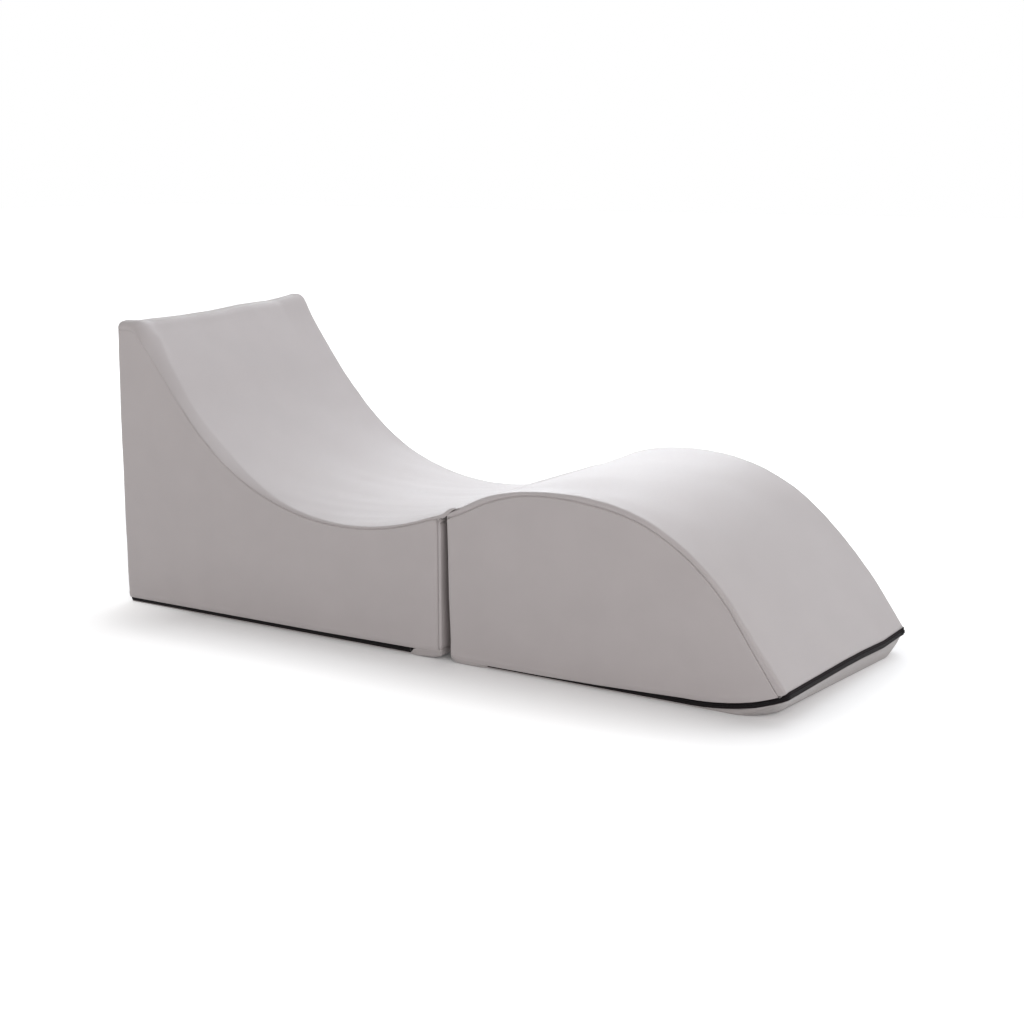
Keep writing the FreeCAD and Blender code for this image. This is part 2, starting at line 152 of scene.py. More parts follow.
# Zip
ZIP_Z = 0.0095
ZIP_TIP_Z = 0.0505
ZIP_RISE_X = FOLD_X + 0.610
ZIP_HALF = 0.0070
ZIP_END = 0.103
ZIP_INSET = 0.005
ZIP_TIP_INSET = -0.0015
ZIP_CORNER = {"back": 0.008, "leg": 0.012}
TOOTH_PITCH = 0.0025
ZIP_BULGE = 0.010
TAPE_UNDER_COVER = 0.004
TAPE_UNDER_BASE = 0.0015
TOOTH_GAP = 0.0007
TOOTH_END = 0.0029
TOOTH_SHIFT = 0.25

# The foam and its liner, by how far each lies inside the cover and how round its edges are
LINER_IN = 0.0078
LINER_RADIUS = 0.014
CORE_IN = 0.041
COMFORT_IN = 0.0095
COMFORT_DEPTH = 0.030
FOAM_RADIUS = 0.010
FOAM_NEAR_REACH = 0.05

# Beside the fold the base goes straight down for this share of its height, its rows up to this angle
PLAIN_TURN = 0.8
PLAIN_SHARE = 0.72

# The leg block's base where it meets the floor at the foot end
TIP_UNDER = 0.028
TIP_UNDER_CORNER = 0.078
TIP_SKEW = 0.0226

# The foot end's edge sags towards its far corner: its rise at places across the block
TIP_SAG_Y = (-0.325, -0.18, -0.02, 0.07, 0.13, 0.20, 0.26, 0.325)
TIP_SAG = (0.0035, 0.002, 0.0005, -0.002, -0.005, -0.0085, -0.0065, -0.0045)
TIP_SAG_REACH = 0.07


def heading(degrees):
    angle = math.radians(degrees)
    return np.array([math.cos(angle), math.sin(angle)])


def shifted(point, degrees, inset):
    """A line with the foam on its right, moved into the foam."""
    along = heading(degrees)
    return np.array(point) + np.array([along[1], -along[0]]) * inset, along


def crossing(first, second):
    (p, u), (q, w) = first, second
    cross = u[0] * w[1] - u[1] * w[0]
    gap = q - p
    return p + u * ((gap[0] * w[1] - gap[1] * w[0]) / cross)


def between(a, b, shares):
    return [a * (1.0 - t) + b * t for t in shares]


def rounded_path(corners, line_counts, arc_counts):
    """Points along straight runs joined by tangent arcs, always the same number of them."""
    points = []
    arcs = []
    for i in range(1, len(corners) - 1):
        point, radius = corners[i]
        into = point - corners[i - 1][0]
        out = corners[i + 1][0] - point
        into = into / max(np.hypot(*into), 1e-9)
        out = out / max(np.hypot(*out), 1e-9)
        turn = math.acos(max(-1.0, min(1.0, float(into @ out))))
        radius = max(radius, LEAST_RADIUS)
        reach = radius * math.tan(turn / 2.0)
        left = np.array([-into[1], into[0]])
        sign = 1.0 if into[0] * out[1] - into[1] * out[0] > 0.0 else -1.0
        begin = point - into * reach
        centre = begin + left * sign * radius
        arc = []
        for k in range(arc_counts[i - 1]):
            angle = turn * k / (arc_counts[i - 1] - 1)
            arc.append(centre - left * sign * radius * math.cos(angle) + into * radius * math.sin(angle))
        arcs.append(arc)
    ends = [arc[0] for arc in arcs] + [corners[-1][0]]
    for i in range(len(arcs) + 1):
        start = corners[0][0] if i == 0 else arcs[i - 1][-1]
        share = np.linspace(0.0, 1.0, line_counts[i] + 2)
        inner = share if i == 0 else share[1:]
        inner = inner if i == len(arcs) else inner[:-1]
        points.extend(between(start, ends[i], inner))
        if i < len(arcs):
            points.extend(arcs[i])
    return np.array(points)


def top_section(block, top_in, end_in, start_drop, end_drop, fold_in=None):
    """The long section of a block's top: up one end, over, and down the other end."""
    fold_in = end_in if fold_in is None else fold_in
    if block == "back":
        lines = [shifted((REAR_X, 0.0), 90.0, end_in),
                 shifted((REAR_X, TOP_Z), 0.0, top_in),
                 shifted((REAR_X + LEDGE_DEPTH, TOP_Z), SLOPE_DEG, top_in),
                 shifted((FOLD_X, FOLD_HEIGHT), SEAT_DEG, top_in),
                 shifted((BACK_FOLD_X, 0.0), -90.0, fold_in)]
        radii = [REAR_TOP_RADIUS - end_in, LEDGE_RADIUS - top_in, DIP_RADIUS + top_in,
                 FOLD_TOP_RADIUS - fold_in]
        line_counts = [4, 6, 16, 10, 4]
        arc_counts = [9, 9, 110, 9]
    else:
        lines = [shifted((LEG_FOLD_X, 0.0), 90.0, fold_in),
                 shifted((FOLD_X, FOLD_HEIGHT), SEAT_DEG, top_in),
                 shifted((TIP_X, TIP_HEIGHT), SHIN_DEG, top_in),
                 shifted((TIP_X, 0.0), -90.0, end_in)]
        radii = [FOLD_TOP_RADIUS - fold_in, HUMP_RADIUS - top_in, TIP_TOP_RADIUS - end_in]
        line_counts = [4, 10, 16, 2]
        arc_counts = [9, 100, 7]
    corners = [crossing(first, second) for first, second in zip(lines, lines[1:])]
    first = corners[0] - lines[0][1] * start_drop
    last = corners[-1] + lines[-1][1] * end_drop
    path = [(first, 0.0)] + list(zip(corners, radii)) + [(last, 0.0)]
    return rounded_path(path, line_counts, arc_counts)


LEVELS = np.arange(0.0, 0.0401, 0.002)


def at_depth(tables, depth):
    """Each station's point at its own depth, between the sections worked out level by level."""
    place = np.clip(depth / (LEVELS[1] - LEVELS[0]), 0.0, len(LEVELS) - 1.001)
    low = place.astype(int)
    part = (place - low)[:, None]
    index = np.arange(tables.shape[1])
    return tables[low, index] * (1.0 - part) + tables[low + 1, index] * part


def rounding_tables(block):
    start, end = (REAR_DROP, FOLD_DROP) if block == "back" else (FOLD_DROP, TIP_DROP)
    rows = []
    for depth in LEVELS:
        start_drop = max(start - depth, 0.0001)
        end_drop = max(end - depth, 0.0001) if block == "back" else end
        rows.append(top_section(block, depth, depth, start_drop, end_drop))
    return np.array(rows)


def wrap_depth(block, x):
    """How far the top panel reaches down the sides before its seam."""
    if block == "back":
        return np.interp(x, (REAR_X, -0.84, -0.76, -0.70, -0.62, -0.57, -0.50, -0.35, -0.20, FOLD_X),
                         (0.020, 0.022, 0.015, 0.009, 0.009, 0.011, 0.010, 0.008, 0.006, 0.006))
    return np.interp(x, (FOLD_X, 0.13, 0.18, 0.22, 0.28, 0.34, 0.47, 0.60, 0.80, 0.87, TIP_X),
                     (0.011, 0.015, 0.015, 0.012, 0.009, 0.009, 0.013, 0.012, 0.012, 0.016, 0.020))


def seam_strength(block, x):
    """How sharply the top's seam shows: hardly at all near the rear ridge."""
    if block == "back":
        return np.interp(x, (REAR_X, REAR_X + 0.05, -0.62, -0.45), (0.5, 0.25, 0.35, 1.0))
    return np.ones_like(x)


def edge_radius(block, x):
    """How softly the cover turns over the long edges."""
    if block == "back":
        return np.interp(x, (REAR_X, -0.87, -0.82, -0.76, -0.70, -0.50, -0.35, -0.20, FOLD_X),
                         (0.012, 0.012, 0.017, 0.012, 0.0085, 0.0085, 0.006, 0.005, 0.005))
    return np.interp(x, (FOLD_X, 0.30, 0.60, 0.80, TIP_X), (0.007, 0.008, 0.009, 0.006, 0.005))


def edge_reach(block, x):
    """How far in from the near side the top's rounding starts: widest on the upper part of the slope."""
    if block == "back":
        return np.interp(x, (REAR_X, -0.88, -0.85, -0.82, -0.78, -0.70, -0.60, -0.55, -0.45, -0.35, -0.20),
                         (0.012, 0.016, 0.040, 0.052, 0.036, 0.032, 0.038, 0.033, 0.018, 0.009, 0.005))
    return edge_radius(block, x)


def edge_facet(block, x):
    """How flat the near side's rounding is: 0 is an even curve, 1 a straight bevel."""
    if block == "back":
        return np.interp(x, (-0.86, -0.82, -0.50, -0.35), (0.0, 0.75, 0.75, 0.0))
    return np.zeros_like(x)


def zip_height(block, x):
    """The height of the zip's centre line."""
    x = np.asarray(x, float)
    if block == "back":
        return np.full_like(x, ZIP_Z)
    reach = TIP_X - ZIP_RISE_X
    rise = ZIP_TIP_Z - ZIP_Z
    radius = (reach * reach + rise * rise) / (2.0 * rise)
    run = np.clip(x - ZIP_RISE_X, 0.0, reach + 0.01)
    return ZIP_Z + radius - np.sqrt(radius * radius - run * run)


def cloth_noise(points, scale, seed):
    """Smooth noise for each point, stretched by scale in x, y and z."""
    flat = points.reshape(-1, 3) * np.array(scale)
    values = [noise.noise(Vector((p[0] + seed, p[1] - seed, p[2] + 0.37 * seed))) for p in flat]
    return np.array(values).reshape(points.shape[:-1])


def grid_normals(points):
    down = np.gradient(points, axis=0)
    along = np.gradient(points, axis=1)
    normal = np.cross(along, down)
    length = np.linalg.norm(normal, axis=-1, keepdims=True)
    return normal / np.maximum(length, 1e-12)


def run_lengths(points, axis):
    steps = np.linalg.norm(np.diff(points, axis=axis), axis=-1)
    total = np.cumsum(steps, axis=axis)
    pad = [(0, 0), (0, 0)]
    pad[axis] = (1, 0)
    return np.pad(total, pad)


def add_object(name, data):
    thing = bpy.data.objects.new(name, data)
    bpy.context.scene.collection.objects.link(thing)
    return thing


def clean_mesh(mesh, merge, recalculate):
    """Joins points that lie together and, where asked, turns every face outward."""
    edit = bmesh.new()
    edit.from_mesh(mesh)
    if merge:
        bmesh.ops.remove_doubles(edit, verts=edit.verts, dist=MERGE_DISTANCE)
    if recalculate:
        bmesh.ops.recalc_face_normals(edit, faces=edit.faces)
    edit.to_mesh(mesh)
    edit.free()


def ring_faces(rings, count, first=0, closed=True):
    """Four-sided faces between neighbouring rings of points."""
    faces = []
    for a in range(first, first + (rings - 1) * count, count):
        for k in range(count if closed else count - 1):
            m = (k + 1) % count
            faces.append((a + k, a + m, a + count + m, a + count + k))
    return faces


def grid_mesh(name, points, thickness, wrap=False):
    """A cloth surface from a grid of points, its outside on the side of along x down."""
    rows, columns = points.shape[:2]
    mesh = bpy.data.meshes.new(name)
    mesh.from_pydata(points.reshape(-1, 3).tolist(), [], ring_faces(rows, columns, closed=wrap))
    across = run_lengths(points, 1)
    down = run_lengths(points, 0)
    mesh.update()
    corner_vertex = np.zeros(len(mesh.loops), int)
    mesh.loops.foreach_get("vertex_index", corner_vertex)
    uv = np.stack([across, down], -1).reshape(-1, 2)[corner_vertex]
    if wrap:
        closing = np.zeros(len(mesh.loops), bool).reshape(-1, 4)
        closing[columns - 1::columns, 1:3] = True
        uv[closing.reshape(-1), 0] += across[0, -1] + float(np.linalg.norm(points[0, 0] - points[0, -1]))
    layer = mesh.uv_layers.new(name="cloth")
    layer.data.foreach_set("uv", uv.astype(np.float32).reshape(-1))
    mesh.shade_smooth()
    clean_mesh(mesh, True, False)
    piece = add_object(name, mesh)
    shell = piece.modifiers.new("cloth", "SOLIDIFY")
    shell.thickness = thickness
    shell.offset = -1.0
    return piece


def seam_dip(distance):
    return SEAM_SINK * np.exp(-(distance / SEAM_REACH) ** 2)


def lift(block, points):
    """A block's points moved by the unevenness of its ridge, edges, ends and foot."""
    x, y, z = points[..., 0], points[..., 1], points[..., 2]
    lifted = points.copy()
    share = np.clip((z - LIFT_START) / LIFT_RUN, 0.0, 1.0)
    far = np.clip((y + 0.05) / (HALF + 0.05), 0.0, 1.0) ** 1.5
    near = np.clip((-y - 0.12) / (HALF - 0.12), 0.0, 1.0) ** 1.5
    if block == "back":
        high = np.clip((z - RIDGE_START) / (TOP_Z - 0.02 - RIDGE_START), 0.0, 1.0)
        at_corner = np.clip((REAR_X + 0.03 - x) / 0.02, 0.0, 1.0) * np.clip((y - 0.2) / 0.11, 0.0, 1.0)
        rise = high * high * (np.interp(y, RIDGE_Y, RIDGE_RISE) - REAR_CORNER_DROP * at_corner)
        rise = rise + share * far * np.interp(x, BACK_FAR_X, BACK_FAR_RISE)
        rise = rise + share * near * np.interp(x, BACK_NEAR_X, BACK_NEAR_RISE)
        upright = np.sin(math.pi * np.clip(z / TOP_Z, 0.0, 1.0)) ** 0.5
        lifted[..., 0] -= REAR_SWELL * upright * np.exp(-((x - REAR_X) / REAR_SWELL_REACH) ** 2)
    else:
        rise = share * far * np.interp(x, LEG_FAR_X, LEG_FAR_RISE)
        rise = rise + share * near * np.interp(x, LEG_NEAR_X, LEG_NEAR_RISE)
        lifted[..., 0] += np.interp(z, LEAN_Z, LEAN) * np.exp(-((x - LEG_FOLD_X) / LEAN_REACH) ** 2)
        at_tip = np.clip(1.0 - (TIP_X - x) / TIP_SAG_REACH, 0.0, 1.0) * np.clip(z / 0.03, 0.0, 1.0)
        rise = rise + at_tip * np.interp(y, TIP_SAG_Y, TIP_SAG)
    foot = np.interp(x, *FOLD_FOOT[block])
    rise = rise + foot * np.clip(1.0 - z / FOOT_TOP, 0.0, 1.0)
    lifted[..., 2] += rise
    return lifted


def pucker(points, seed, count=45.0):
    return cloth_noise(points, (count, count, count), seed)


def top_grid(block):
    tables = rounding_tables(block)
    x = tables[0][:, 0]
    radius = edge_radius(block, x)
    seam = side_seam(block)
    edge = at_depth(tables, radius)
    if block == "leg":
        floor = zip_height("leg", seam[:, 0]) + ZIP_HALF
        seam[:, 1] = np.maximum(seam[:, 1], floor)
    lengths = np.linalg.norm(seam - edge, axis=1)
    total = lengths + radius * QUARTER
    reach = edge_reach(block, x)

    def flank(side, reach, facet):
        """From the seam up the side and round the long edge, as paths along the block."""
        runs = [np.minimum(step, total * 0.6) for step in SEAM_STEPS]
        for share in np.linspace(0.0, 1.0, 9)[1:]:
            runs.append(runs[len(SEAM_STEPS) - 1] * (1.0 - share) + total * share)
        out = []
        for run in runs:
            share = np.clip(run / np.maximum(lengths, 1e-6), 0.0, 1.0)[:, None]
            turn = np.clip((run - lengths) / np.maximum(radius, 1e-6), 0.0, QUARTER)
            flat = seam * (1.0 - share) + edge * share
            bevel = facet * turn / QUARTER
            arc = at_depth(tables, radius * (1.0 - (1.0 - facet) * np.sin(turn) - bevel))
            path = np.where((run <= lengths)[:, None], flat, arc)
            inward = reach * ((1.0 - facet) * (1.0 - np.cos(turn)) + bevel)
            out.append(np.stack([path[:, 0], side * (HALF - inward), path[:, 1]], -1))
        return out, runs

    near, runs = flank(-1.0, reach, edge_facet(block, x))
    far, _ = flank(1.0, radius, 0.0)
    across = []
    for share in np.linspace(0.0, 1.0, 92)[1:-1]:
        y = (reach - HALF) * (1.0 - share) + (HALF - radius) * share
        across.append(np.stack([tables[0][:, 0], y, tables[0][:, 1]], -1))
    points = np.array(near + across + far[::-1])
    from_seam = np.array(runs + [np.full_like(x, 1.0)] * len(across) + runs[::-1])
    normal = grid_normals(points)
    px, py, pz = np.moveaxis(points, -1, 0)
    side = np.minimum(py + HALF, HALF - py)
    inner = np.clip(side / 0.06, 0.0, 1.0)
    along = px * WRINKLE_WAY[0] + py * WRINKLE_WAY[1]
    over = py * WRINKLE_WAY[0] - px * WRINKLE_WAY[1]
    slanted = np.stack([along, over, pz], -1)
    push = inner * cloth_noise(points, (4.0, 2.2, 4.0), 7.7) * 0.0020
    push += inner * cloth_noise(slanted, (2.0, 9.0, 3.0), 3.1) * 0.0012
    push += pucker(points, 11.3) * 0.0006 * np.exp(-side / 0.02)
    if block == "back":
        dip = np.exp(-((px - DIP_X) / DIP_REACH) ** 2)
        push += inner * dip * cloth_noise(slanted, (3.2, 21.0, 4.0), 19.0) * 0.0017
    ends = np.minimum(run_lengths(points, 1), run_lengths(points[:, ::-1], 1)[:, ::-1])
    push = push * np.clip(ends / 0.02, 0.0, 1.0) - seam_dip(ends) * 0.8
    push -= seam_dip(from_seam) * seam_strength(block, x)
    points = points + normal * push[:, :, None]
    under = (seam - edge) / np.maximum(lengths, 1e-6)[:, None] * 0.001
    tuck = np.stack([under[:, 0], np.full_like(x, TUCK), under[:, 1]], -1)
    points = np.concatenate([[points[0] + tuck], points, [points[-1] + tuck * np.array([1.0, -1.0, 1.0])]])
    return lift(block, points)


def corner_plan(start, corner, end, radius, start_step, end_step, corner_steps=8):
    """A plan path with one rounded right-angled corner, with its outward side on the right."""
    start, corner, end = [np.array(p, float) for p in (start, corner, end)]
    into = (corner - start) / np.linalg.norm(corner - start)
    out = (end - corner) / np.linalg.norm(end - corner)
    begin = corner - into * radius
    finish = corner + out * radius
    centre = begin + out * radius
    count = max(2, int(np.linalg.norm(begin - start) / start_step))
    points = between(start, begin, np.linspace(0.0, 1.0, count, endpoint=False))
    for k in range(corner_steps + 1):
        angle = QUARTER * k / corner_steps
        points.append(centre - out * radius * math.cos(angle) + into * radius * math.sin(angle))
    count = max(2, int(np.linalg.norm(end - finish) / end_step))
    return np.array(points + between(finish, end, np.linspace(0.0, 1.0, count + 1)[1:]))


def path_normals(plan, closed=False):
    """Level outward directions, to the right of the path."""
    step = np.roll(plan, -1, axis=0) - np.roll(plan, 1, axis=0) if closed else np.gradient(plan, axis=0)
    step = step / np.maximum(np.linalg.norm(step, axis=1, keepdims=True), 1e-12)
    return np.stack([step[:, 1], -step[:, 0]], -1)


def inset_row(plan, outward, z, inset):
    """The plan path at a height for each of its points, moved inward."""
    xy = plan - outward * np.broadcast_to(inset, z.shape)[:, None]
    return np.concatenate([xy, z[:, None]], 1)


def hem_roll(points, above_hem, seed):
    """How far the cloth stands out over the hem's stitching, a little unevenly."""
    roll = np.exp(-((above_hem - HEM_LINE) / HEM_WIDTH) ** 2)
    return roll * (0.0007 + 0.0009 * pucker(points, seed, 60.0))


def hem_sag(block, side, x):
    """How far the near side's hem hangs over the zip."""
    if side > 0.0:
        return np.zeros_like(x)
    if block == "back":
        return np.interp(x, (REAR_X, -0.30, -0.02), (0.0045, 0.003, 0.0005))
    return np.interp(x, (FOLD_X + 0.1, FOLD_X + 0.24, FOLD_X + 0.39, FOLD_X + 0.50, FOLD_X + 0.60),
                     (0.0100, 0.0095, 0.0070, 0.0035, 0.0))


def side_plan(block, side):
    """The side panel's plan with the corner that it wraps, outward on the right."""
    if block == "back":
        start_x, end_x, radius = REAR_X, BACK_FOLD_X - FOLD_WRAP, END_RADIUS
    else:
        start_x, end_x, radius = LEG_FOLD_X, leg_seam_end(), FOLD_CORNER["leg"]
    plan = corner_plan((start_x, -SEAM_Y), (start_x, -HALF), (end_x, -HALF), radius, 0.003, 0.008)
    return plan if side < 0.0 else plan[::-1] * np.array([1.0, -1.0])


def side_seam(block):
    """The side seam's points, each with its x and its height."""
    at_fold = FOLD_CORNER[block]
    tables = np.array([top_section(block, depth, END_RADIUS, 0.0, 0.0, at_fold) for depth in LEVELS])
    x = rounding_tables(block)[0][:, 0]
    return at_depth(tables, np.maximum(wrap_depth(block, x), edge_radius(block, x) + PAST_ROUNDING))


def seam_height(seam, x):
    order = np.argsort(seam[:, 0], kind="stable")
    return np.interp(x, seam[order, 0], seam[order, 1])


def leg_seam_end():
    """Where the leg's side seam runs into the zip."""
    seam = side_seam("leg")
    gap = seam[:, 1] - zip_height("leg", seam[:, 0]) - ZIP_HALF
    closed = np.nonzero(gap < SEAM_CLOSED)[0][0]
    last_two = slice(closed - 1, closed + 1)
    return float(np.interp(-SEAM_CLOSED, -gap[last_two], seam[last_two, 0]))


def side_grid(block, side):
    plan = side_plan(block, side)
    outward = path_normals(plan)
    seam = side_seam(block)
    x = plan[:, 0]
    wrapped = REAR_X + END_RADIUS if block == "back" else LEG_FOLD_X + FOLD_CORNER["leg"]
    top = np.where(x < wrapped, seam[0, 1], seam_height(seam, x))
    bottom = zip_height(block, x) + ZIP_HALF - hem_sag(block, side, x)
    height = np.maximum(top - bottom, 0.0001)
    low = np.array([0.0, 0.0012, 0.003, 0.006, 0.009, 0.012, 0.016, 0.022])
    high = np.concatenate([[0.016, 0.009], SEAM_STEPS[::-1]])
    rows = []

    def add(z, inset):
        rows.append(inset_row(plan, outward, z, inset))

    fit = np.clip(height / 0.06, 0.02, 1.0)
    add(bottom + 0.004 * fit, 0.0042)
    add(bottom + 0.001 * fit, 0.0036)
    for offset in low:
        add(bottom + offset * fit, 0.0008 * math.exp(-offset / 0.0008))
    share = np.linspace(0.0, 1.0, 56)[1:-1]
    for z in between(bottom + low[-1] * fit, top - high[0] * fit, share):
        add(z, 0.0)
    sharp = seam_strength(block, x)
    for offset in high:
        add(top - offset * fit, seam_dip(offset) * sharp)
    add(top + 0.001 * fit, seam_dip(0.0) * sharp + TUCK)
    points = np.array(rows)
    from_bottom = points[:, :, 2] - bottom[None, :]
    from_top = top[None, :] - points[:, :, 2]
    along = run_lengths(points, 1)
    ends = np.minimum(along, along[:, -1:] - along)
    calm = np.clip(np.minimum(from_bottom, from_top) / 0.03, 0.0, 1.0) * np.clip(ends / 0.03, 0.0, 1.0)
    up = np.clip(from_bottom / np.maximum(from_bottom + from_top, 1e-6), 0.0, 1.0)
    level = np.clip(ends / along[:, -1:].max(), 0.0, 0.5) * 2.0
    push = SIDE_SWELL * np.sin(math.pi * up) ** 0.8 * np.sin(QUARTER * np.minimum(level * 3.0, 1.0))
    push = push * np.clip(height / 0.20, 0.0, 1.0)
    push += calm * cloth_noise(points, (3.0, 3.0, 5.0), 23.0 + side) * 0.0022
    push += calm * cloth_noise(points, (9.0, 9.0, 14.0), 29.0 + side) * 0.0007
    push += hem_roll(points, from_bottom, 37.0)
    push += np.exp(-np.maximum(from_top, 0.0) / 0.012) * pucker(points, 41.0, 50.0) * 0.0005
    push -= seam_dip(ends)
    points[:, :, :2] += outward[None] * push[:, :, None]
    return lift(block, points)


def flat_panel(x, high):
    """An upright panel across a block's low-x face, from the zip up to its seam."""
    ys = np.concatenate([[-SEAM_Y - 0.0035, -SEAM_Y - 0.0012], np.linspace(-SEAM_Y, SEAM_Y, 70),
                         [SEAM_Y + 0.0012, SEAM_Y + 0.0035]])
    low = ZIP_Z + ZIP_HALF
    zs = np.concatenate([[low + 0.004, low + 0.001], low + np.array([0.0, 0.003, 0.006, 0.010, 0.014]),
                         np.linspace(low + 0.02, high - 0.02, 44),
                         high - np.array([0.012, 0.006, 0.003, 0.001, 0.0])])
    grid_y, grid_z = np.meshgrid(-ys, zs)
    points = np.stack([np.full_like(grid_y, x), grid_y, grid_z], -1)
    edge = np.minimum(SEAM_Y - np.abs(grid_y), np.minimum(grid_z - low, high - grid_z))
    calm = np.clip(edge / 0.05, 0.0, 1.0)
    push = calm * cloth_noise(points, (3.0, 3.0, 4.0), 51.0) * 0.0030
    push += hem_roll(points, grid_z - low, 57.0)
    push -= seam_dip(np.maximum(edge, 0.0)) + np.where(edge < 0.0, 0.004, 0.0)
    points[:, :, 0] -= push
    points[:2, :, 0] = x + 0.0038
    points[-1, :, 0] = x + 0.0055
    return lift("back" if x == REAR_X else "leg", points)


def fold_grid(block):
    """The panel in the fold: the back's wraps round both corners to an upright seam."""
    if block == "leg":
        return flat_panel(LEG_FOLD_X, side_seam("leg")[0, 1])
    low = ZIP_Z + ZIP_HALF
    start = (BACK_FOLD_X - FOLD_WRAP, -HALF)
    middle = (BACK_FOLD_X, 0.0)
    radius = FOLD_CORNER["back"]
    half = corner_plan(start, (BACK_FOLD_X, -HALF), middle, radius, 0.0008, 0.012)
    other = half[::-1][1:] * np.array([1.0, -1.0])
    plan = np.concatenate([half, other])
    outward = path_normals(plan)
    seam = side_seam("back")
    x = plan[:, 0]
    top = np.where(x > BACK_FOLD_X - radius, seam[-1, 1], seam_height(seam, x))
    face_top = top_section("back", 0.0, 0.0, REAR_DROP, FOLD_DROP)[-1, 1]
    turn = np.clip((x - (BACK_FOLD_X - radius)) / radius, 0.0, 1.0)
    top = top * (1.0 - turn) + face_top * turn
    rows = []

    def add(z, inset):
        rows.append(inset_row(plan, outward, z, inset))

    add(np.full_like(x, low) - 0.0005, 0.004)
    for share in np.linspace(0.0, 1.0, 44):
        z = low * (1.0 - share) + top * share
        add(z, seam_dip(min(share, 1.0 - share) * 0.30))
    add(top + 0.0008, 0.0045)
    points = np.array(rows)
    along = run_lengths(points, 1)
    ends = np.minimum(along, along[:, -1:] - along)
    push = -seam_dip(ends)
    push += np.clip(ends / 0.05, 0.0, 1.0) * cloth_noise(points, (4.0, 4.0, 6.0), 61.0) * 0.0010
    points[:, :, :2] += outward[None] * push[:, :, None]
    return lift("back", points)


def plan_loop(block, side_in, end_in, fold_in, radius, fold_radius):
    """A block's plan outline as a closed path, with its outward side on the right."""
    if block == "back":
        ends = [(REAR_X + end_in, radius, END_FACETS), (BACK_FOLD_X - fold_in, fold_radius, FOLD_FACETS)]
    else:
        ends = [(LEG_FOLD_X + fold_in, fold_radius, FOLD_FACETS), (TIP_X - end_in, radius, END_FACETS)]
    (low_x, low_round, low_count), (high_x, high_round, high_count) = ends
    y = HALF - side_in
    points = []

    def line(a, b, count):
        shares = np.linspace(0.0, 1.0, count, endpoint=False)
        points.extend(between(np.array(a), np.array(b), shares))

    def arc(centre, rho, start, count):
        for k in range(count):
            angle = start + QUARTER * k / count
            points.append((centre[0] + rho * math.cos(angle), centre[1] + rho * math.sin(angle)))

    line((low_x + low_round, -y), (high_x - high_round, -y), SIDE_POINTS)
    arc((high_x - high_round, -y + high_round), high_round, -QUARTER, high_count)
    line((high_x, -y + high_round), (high_x, y - high_round), END_POINTS)
    arc((high_x - high_round, y - high_round), high_round, 0.0, high_count)
    line((high_x - high_round, y), (low_x + low_round, y), SIDE_POINTS)
    arc((low_x + low_round, y - low_round), low_round, QUARTER, low_count)
    line((low_x, y - low_round), (low_x, -y + low_round), END_POINTS)
    arc((low_x + low_round, -y + low_round), low_round, math.pi, low_count)
    return np.array(points)


def base_grid(block):
    """The base of the cover: its rim under the zip, its rounded lower edge and the flat underside."""
    at_fold = FOLD_CORNER[block]
    plain = plan_loop(block, 0.0, 0.0, 0.0, END_RADIUS, at_fold)
    if block == "back":
        rim = plan_loop(block, 0.0045, 0.0045, 0.0, 0.010, at_fold)
        floor = plan_loop(block, 0.006, 0.006, 0.004, 0.014, at_fold)
    else:
        rim = plan_loop(block, 0.0045, 0.001, 0.0, 0.014, at_fold)
        floor = plan_loop(block, 0.006, TIP_UNDER, 0.004, TIP_UNDER_CORNER, at_fold)
        near_tip = np.clip((floor[:, 0] - TIP_X + 0.2) / 0.15, 0.0, 1.0)
        floor[:, 0] += near_tip * TIP_SKEW * floor[:, 1] / HALF
    x = rim[:, 0]
    from_fold = np.abs(x - FOLD_X)
    tray = np.clip((from_fold - ZIP_END + 0.012) / 0.014, 0.0, 1.0)[:, None]
    tray = tray * tray * (3.0 - 2.0 * tray)
    at_tip = 0.9 * np.clip((x - ZIP_RISE_X) / 0.15, 0.0, 1.0)[:, None]
    top = rim * tray + plain * (1.0 - tray)
    rim_z = zip_height(block, x) - ZIP_HALF
    height = rim_z * tray[:, 0] + (ZIP_Z + ZIP_HALF) * (1.0 - tray[:, 0])
    turn_in = 0.006
    lower_fold = max(at_fold - turn_in, 0.0005)
    lower = plan_loop(block, turn_in, turn_in, turn_in, END_RADIUS - turn_in, lower_fold)
    start = floor * tray + lower * (1.0 - tray)
    rows = []

    def add(xy, z):
        rows.append(np.concatenate([xy, np.broadcast_to(z, x.shape)[:, None]], 1))

    outward = path_normals(top, True)
    add(top - outward * 0.005, height + 0.0025)
    add(top - outward * 0.0025, height + 0.0015)
    for angle in np.radians(np.linspace(0.0, 90.0, 12)):
        share = angle / QUARTER
        tray_in = (1.0 - math.cos(angle)) * (1.0 - at_tip) + share * at_tip
        tray_down = math.sin(angle) * (1.0 - at_tip[:, 0]) + share * at_tip[:, 0]
        late = max(0.0, (angle - PLAIN_TURN) / (QUARTER - PLAIN_TURN))
        plain_in = 1.0 - math.cos(late * QUARTER)
        plain_down = min(1.0, angle / PLAIN_TURN * PLAIN_SHARE + late * (1.0 - PLAIN_SHARE))
        inward = tray_in * tray + plain_in * (1.0 - tray)
        down = tray_down * tray[:, 0] + plain_down * (1.0 - tray[:, 0])
        add(top * (1.0 - inward) + start * inward, height * (1.0 - down))
    ends = (x.min() + HALF, x.max() - HALF)
    centre = np.stack([np.clip(x, min(ends), max(ends)), np.zeros_like(x)], -1)
    for share in (0.06, 0.15, 0.3, 0.5, 0.75, 1.0):
        add(start * (1.0 - share) + centre * share, 0.0)
    return lift(block, np.array(rows)[:, ::-1])


